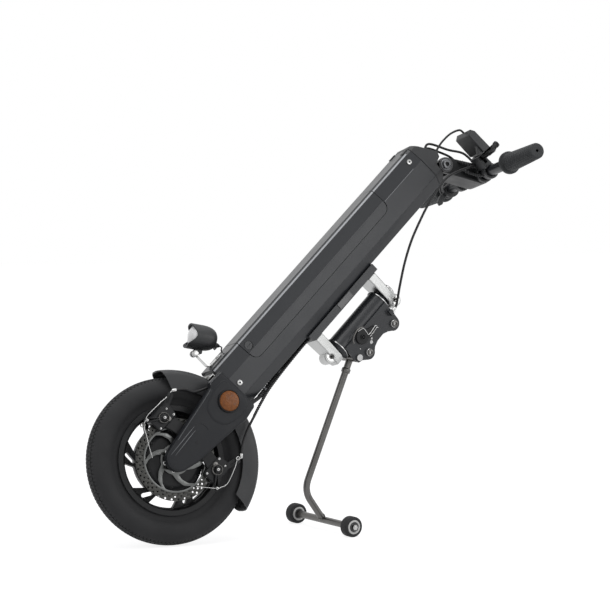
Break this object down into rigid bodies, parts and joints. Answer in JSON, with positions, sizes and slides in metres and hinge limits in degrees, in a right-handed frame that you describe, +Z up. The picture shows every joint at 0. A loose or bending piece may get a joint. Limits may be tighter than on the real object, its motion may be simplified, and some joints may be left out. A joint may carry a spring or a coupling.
{
  "type": "handbike",
  "caption": "Electric clip-on handbike for a wheelchair: front drive wheel, slanted battery column, handlebar, docking head and a folding prop stand on rollers.",
  "frame": {"origin": "on the ground in the middle plane of the dock, straight below the middle of the head tube", "axes": "+X towards the rider and the back of the vehicle, +Y to its right side, +Z up; the front wheel is turned 15 degrees at rest"},
  "size_m": [0.955, 0.5369, 0.8161],
  "materials": {
    "black_paint": "satin",
    "black_alloy": "satin black coating",
    "black_plastic": "matte",
    "battery_case": "satin",
    "tyre_rubber": "matte",
    "grip_rubber": "matte",
    "cable_jacket": "satin",
    "silver_cast": "satin",
    "bright_steel": "bright",
    "gun_steel": "gunmetal",
    "amber_lens": "clear amber",
    "clear_lens": "clear",
    "dark_glass": "gloss",
    "hub_nylon": "satin"
  },
  "bodies": {
    "dock": {"head_tube": "black_paint", "dock_plate_left": "black_paint", "dock_plate_right": "black_paint", "ear_bolt_lower": "bright_steel", "ear_bolt_upper": "bright_steel", "stand_bolt": "bright_steel"},
    "latch_lever": {"latch_lever": "gun_steel"},
    "latch_hook": {"latch_hook": "bright_steel"},
    "stand": {"stand_frame": "gun_steel"},
    "roller_left": {"roller_tyre_left": "grip_rubber", "roller_hub_left": "hub_nylon"},
    "roller_right": {"roller_tyre_right": "grip_rubber", "roller_hub_right": "hub_nylon"},
    "column": {"column_body": "black_alloy", "top_cap": "black_plastic", "controller_box": "black_alloy", "steering_arm_lower": "silver_cast", "steering_arm_upper": "silver_cast", "kingpin": "bright_steel", "fork": "black_paint", "fork_cover_left": "black_plastic", "fork_cover_right": "black_plastic", "reflector_left": "amber_lens", "reflector_right": "amber_lens", "mudguard": "black_plastic", "wheel_axle": "bright_steel", "headlight_bracket": "bright_steel", "stem_bolt": "bright_steel", "caliper_front": "black_alloy", "caliper_rear": "black_alloy", "front_brake_cable": "cable_jacket", "rear_brake_cable": "cable_jacket", "motor_cable": "cable_jacket", "headlight_cable": "cable_jacket", "display_cable": "cable_jacket", "lever_cable_left": "cable_jacket", "lever_cable_right": "cable_jacket", "release_cable": "cable_jacket"},
    "battery": {"battery_pack": "battery_case"},
    "battery_lock": {"battery_lock": "bright_steel"},
    "headlight": {"headlight_shell": "black_plastic", "headlight_lens": "clear_lens"},
    "wheel": {"tyre": "tyre_rubber", "rim": "black_alloy", "hub_motor": "black_alloy", "brake_rotor": "bright_steel"},
    "caliper_arm_front": {"caliper_arm_front": "bright_steel"},
    "caliper_arm_rear": {"caliper_arm_rear": "bright_steel"},
    "handlebar": {"stem": "black_alloy", "handlebar": "black_alloy", "grip_left": "grip_rubber", "grip_right": "grip_rubber", "lever_perch_left": "black_plastic", "lever_perch_right": "black_plastic", "display_housing": "black_plastic", "display_screen": "dark_glass", "throttle_housing": "black_plastic"},
    "brake_lever_left": {"brake_lever_left": "black_alloy"},
    "brake_lever_right": {"brake_lever_right": "black_alloy"},
    "throttle": {"throttle_paddle": "black_plastic"}
  },
  "joints": [
    {"name": "steering", "type": "hinge", "parent": "dock", "child": "column", "pos_m": [0, 0, 0.41276], "axis": [0.7314, 0, 0.682], "range_deg": [-30, 60], "deforming": ["release_cable"]},
    {"name": "wheel_spin", "type": "hinge", "parent": "column", "child": "wheel", "pos_m": [-0.4276, 0.02878, 0.16089], "axis": [0.1765, 0.9659, -0.1893], "continuous": true},
    {"name": "stand_fold", "type": "hinge", "parent": "dock", "child": "stand", "pos_m": [-0.01743, 0, 0.34934], "axis": [0, 1, 0], "range_deg": [-85, 0]},
    {"name": "roller_spin_left", "type": "hinge", "parent": "stand", "child": "roller_left", "pos_m": [-0.0843, -0.102, 0.0205], "axis": [0, 1, 0], "continuous": true},
    {"name": "roller_spin_right", "type": "hinge", "parent": "stand", "child": "roller_right", "pos_m": [-0.0843, 0.102, 0.0205], "axis": [0, 1, 0], "continuous": true},
    {"name": "battery_lift", "type": "slide", "parent": "column", "child": "battery", "axis": [-0.6588, 0.2588, 0.7064], "range_m": [0, 0.09]},
    {"name": "battery_lock_turn", "type": "hinge", "parent": "battery", "child": "battery_lock", "pos_m": [-0.2528, 0.03869, 0.37447], "axis": [-0.1765, -0.9659, 0.1893], "range_deg": [0, 90]},
    {"name": "headlight_tilt", "type": "hinge", "parent": "column", "child": "headlight", "pos_m": [-0.35241, 0.05513, 0.36545], "axis": [0.1765, 0.9659, -0.1893], "range_deg": [-10, 15], "deforming": ["headlight_cable"]},
    {"name": "stem_tilt", "type": "hinge", "parent": "column", "child": "handlebar", "pos_m": [0.22059, 0.02275, 0.73456], "axis": [0.1765, 0.9659, -0.1893], "range_deg": [-30, 30], "deforming": ["display_cable", "lever_cable_left", "lever_cable_right", "release_cable"]},
    {"name": "brake_squeeze_left", "type": "hinge", "parent": "handlebar", "child": "brake_lever_left", "pos_m": [0.26593, -0.06047, 0.75368], "axis": [0.7314, 0, 0.682], "range_deg": [0, 12], "stiffness_Nm_per_rad": 0.5, "springref_deg": -20.05},
    {"name": "brake_squeeze_right", "type": "hinge", "parent": "handlebar", "child": "brake_lever_right", "pos_m": [0.29276, 0.08635, 0.72491], "axis": [-0.7314, 0, -0.682], "range_deg": [0, 12], "stiffness_Nm_per_rad": 0.5, "springref_deg": -20.05},
    {"name": "caliper_pull_front", "type": "hinge", "parent": "column", "child": "caliper_arm_front", "pos_m": [-0.44643, 0.04767, 0.23974], "axis": [0.1765, 0.9659, -0.1893], "range_deg": [0, 25]},
    {"name": "caliper_pull_rear", "type": "hinge", "parent": "column", "child": "caliper_arm_rear", "pos_m": [-0.35025, 0.00989, 0.1366], "axis": [-0.1765, -0.9659, 0.1893], "range_deg": [0, 25]},
    {"name": "throttle_push", "type": "hinge", "parent": "handlebar", "child": "throttle", "pos_m": [0.30241, 0.00388, 0.71457], "axis": [0.1765, 0.9659, -0.1893], "range_deg": [0, 35], "stiffness_Nm_per_rad": 0.05, "springref_deg": -22.92},
    {"name": "latch_pull", "type": "hinge", "parent": "dock", "child": "latch_lever", "pos_m": [-0.01066, 0, 0.3912], "axis": [0, -1, 0], "range_deg": [0, 25], "stiffness_Nm_per_rad": 0.1, "springref_deg": -22.92},
    {"name": "hook_swing", "type": "hinge", "parent": "dock", "child": "latch_hook", "pos_m": [0.01371, 0, 0.37974], "axis": [0, -1, 0], "range_deg": [0, 25]}
  ],
  "couplings": [
    {"joint": "caliper_pull_front", "follows": "brake_squeeze_left", "ratio": 2},
    {"joint": "caliper_pull_rear", "follows": "brake_squeeze_right", "ratio": 2},
    {"joint": "hook_swing", "follows": "latch_pull", "ratio": 1}
  ]
}
